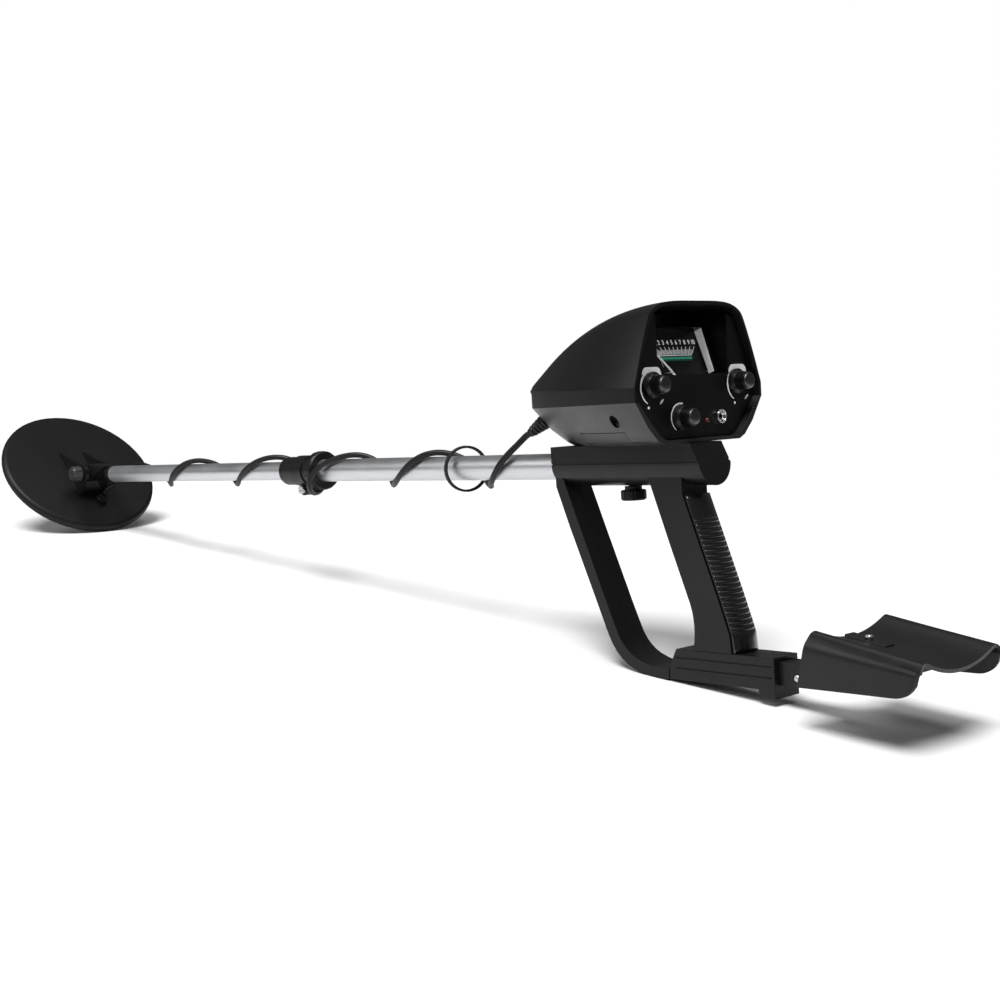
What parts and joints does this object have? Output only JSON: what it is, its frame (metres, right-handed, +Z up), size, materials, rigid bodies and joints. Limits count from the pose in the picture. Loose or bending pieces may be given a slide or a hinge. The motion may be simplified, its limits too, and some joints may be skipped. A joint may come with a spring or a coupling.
{
  "type": "metal detector",
  "caption": "Hobby metal detector with tilting round search coil, telescoping stem, wound cable, meter housing, D-shaped handle and sliding arm rest.",
  "frame": {"origin": "centre of the small flat on the underside of the handle bar that the detector stands on, on the ground and midway across its width", "axes": "+X forward along the ground towards the search coil, +Y to the user's left, +Z up; the stem slopes down forward by about six degrees"},
  "size_m": [1.1442, 0.1648, 0.2573],
  "materials": {
    "black_plastic": "satin moulded black",
    "grey_plastic": "satin dark grey",
    "scale_print": "printed dial plate",
    "tube_aluminium": "satin anodised",
    "black_rubber": "soft matt black",
    "steel": "zinc plated",
    "knob_cap": "satin grey insert",
    "copper": "enamelled wire",
    "white_plastic": "plain white",
    "clear_plastic": "clear moulding",
    "red_lens": "tinted lens",
    "board": "solder resist",
    "battery_case": "wrapped metal can"
  },
  "bodies": {
    "frame": {"meter_case": "black_plastic", "meter_scale": "scale_print", "meter_window": "clear_plastic", "upper_tube": "tube_aluminium", "stem_clamp_sleeve": "black_plastic", "clamp_nut": "steel", "cable_strap": "black_rubber", "stem_cable": "black_rubber", "housing_upper": "black_plastic", "housing_lower": "black_plastic", "housing_screw": "steel", "cable_strain_relief": "black_rubber", "control_panel": "black_plastic", "meter_tub": "black_plastic", "discrimination_potentiometer": "steel", "tuning_potentiometer": "steel", "volume_potentiometer": "steel", "low_battery_led": "red_lens", "earphone_socket": "steel", "earphone_socket_nut": "steel", "circuit_board": "board", "speaker": "black_plastic", "battery": "battery_case", "handle_left": "black_plastic", "handle_right": "black_plastic", "handle_screw_1": "steel", "handle_screw_2": "steel", "handle_screw_3": "steel", "handle_screw_4": "steel", "grip_insert": "black_rubber", "base_block": "black_plastic"},
    "lower_stem": {"lower_tube": "tube_aluminium", "stem_yoke": "black_plastic", "rubber_washer_left": "black_rubber", "rubber_washer_right": "black_rubber", "lower_tube_bush": "white_plastic", "coil_cable_lead": "black_rubber"},
    "coil": {"coil_upper_shell": "black_plastic", "coil_lower_cover": "black_plastic", "transmit_winding": "copper", "receive_winding": "copper", "coil_pivot_bolt": "steel", "coil_cable_gland": "black_plastic"},
    "coil_knob": {"coil_lock_knob": "grey_plastic"},
    "clamp_bolt": {"clamp_screw": "steel"},
    "twist_lock": {"lock_ring": "black_plastic"},
    "needle": {"meter_needle": "white_plastic"},
    "discrimination_control": {"discrimination_knob": "black_plastic", "discrimination_knob_cap": "knob_cap"},
    "tuning_control": {"tuning_knob": "black_plastic", "tuning_knob_cap": "knob_cap"},
    "volume_control": {"volume_knob": "black_plastic", "volume_knob_cap": "knob_cap"},
    "battery_cover": {"battery_door": "black_plastic"},
    "thumb_screw": {"stem_thumb_screw": "black_plastic"},
    "arm_rest": {"arm_cup": "black_plastic", "arm_rest_tongue": "black_plastic", "cup_clamp_plate": "black_plastic", "cup_clamp_screw": "steel", "tongue_stud": "steel"}
  },
  "joints": [
    {"name": "stem_extend", "type": "slide", "parent": "frame", "child": "lower_stem", "axis": [0.9943, 0, -0.1062], "range_m": [-0.2, 0.02], "deforming": ["stem_cable"]},
    {"name": "coil_tilt", "type": "hinge", "parent": "lower_stem", "child": "coil", "pos_m": [0.81317, 0, 0.06062], "axis": [0, 1, 0], "range_deg": [-40, 45], "deforming": ["coil_cable_lead"]},
    {"name": "coil_knob_turn", "type": "hinge", "parent": "coil", "child": "coil_knob", "pos_m": [0.81317, 0, 0.06062], "axis": [0, 1, 0], "range_deg": [0, 270]},
    {"name": "clamp_screw_turn", "type": "hinge", "parent": "frame", "child": "clamp_bolt", "pos_m": [0.42044, 0, 0.08405], "axis": [0, 1, 0], "range_deg": [0, 180]},
    {"name": "lock_ring_turn", "type": "hinge", "parent": "frame", "child": "twist_lock", "pos_m": [0.39931, 0, 0.10279], "axis": [0.9943, 0, -0.1062], "range_deg": [0, 90]},
    {"name": "needle_swing", "type": "hinge", "parent": "frame", "child": "needle", "pos_m": [-0.01566, 0, 0.19602], "axis": [0.9129, 0, -0.4082], "range_deg": [0, 76], "stiffness_Nm_per_rad": 0.00005},
    {"name": "discrimination_turn", "type": "hinge", "parent": "frame", "child": "discrimination_control", "pos_m": [-0.02177, 0.043, 0.20267], "axis": [0.9943, 0, -0.1062], "range_deg": [0, 300]},
    {"name": "tuning_turn", "type": "hinge", "parent": "frame", "child": "tuning_control", "pos_m": [-0.02177, -0.043, 0.20267], "axis": [0.9943, 0, -0.1062], "range_deg": [0, 300]},
    {"name": "volume_turn", "type": "hinge", "parent": "frame", "child": "volume_control", "pos_m": [-0.02413, 0.0158, 0.18059], "axis": [0.9943, 0, -0.1062], "range_deg": [0, 300]},
    {"name": "battery_door_slide", "type": "slide", "parent": "frame", "child": "battery_cover", "axis": [0, 1, 0], "range_m": [0, 0.028]},
    {"name": "thumb_screw_turn", "type": "hinge", "parent": "frame", "child": "thumb_screw", "pos_m": [0.03077, 0, 0.12203], "axis": [0.1062, 0, 0.9943], "range_deg": [0, 270]},
    {"name": "arm_rest_slide", "type": "slide", "parent": "frame", "child": "arm_rest", "axis": [0.9943, 0, -0.1062], "range_m": [-0.025, 0.01]}
  ]
}
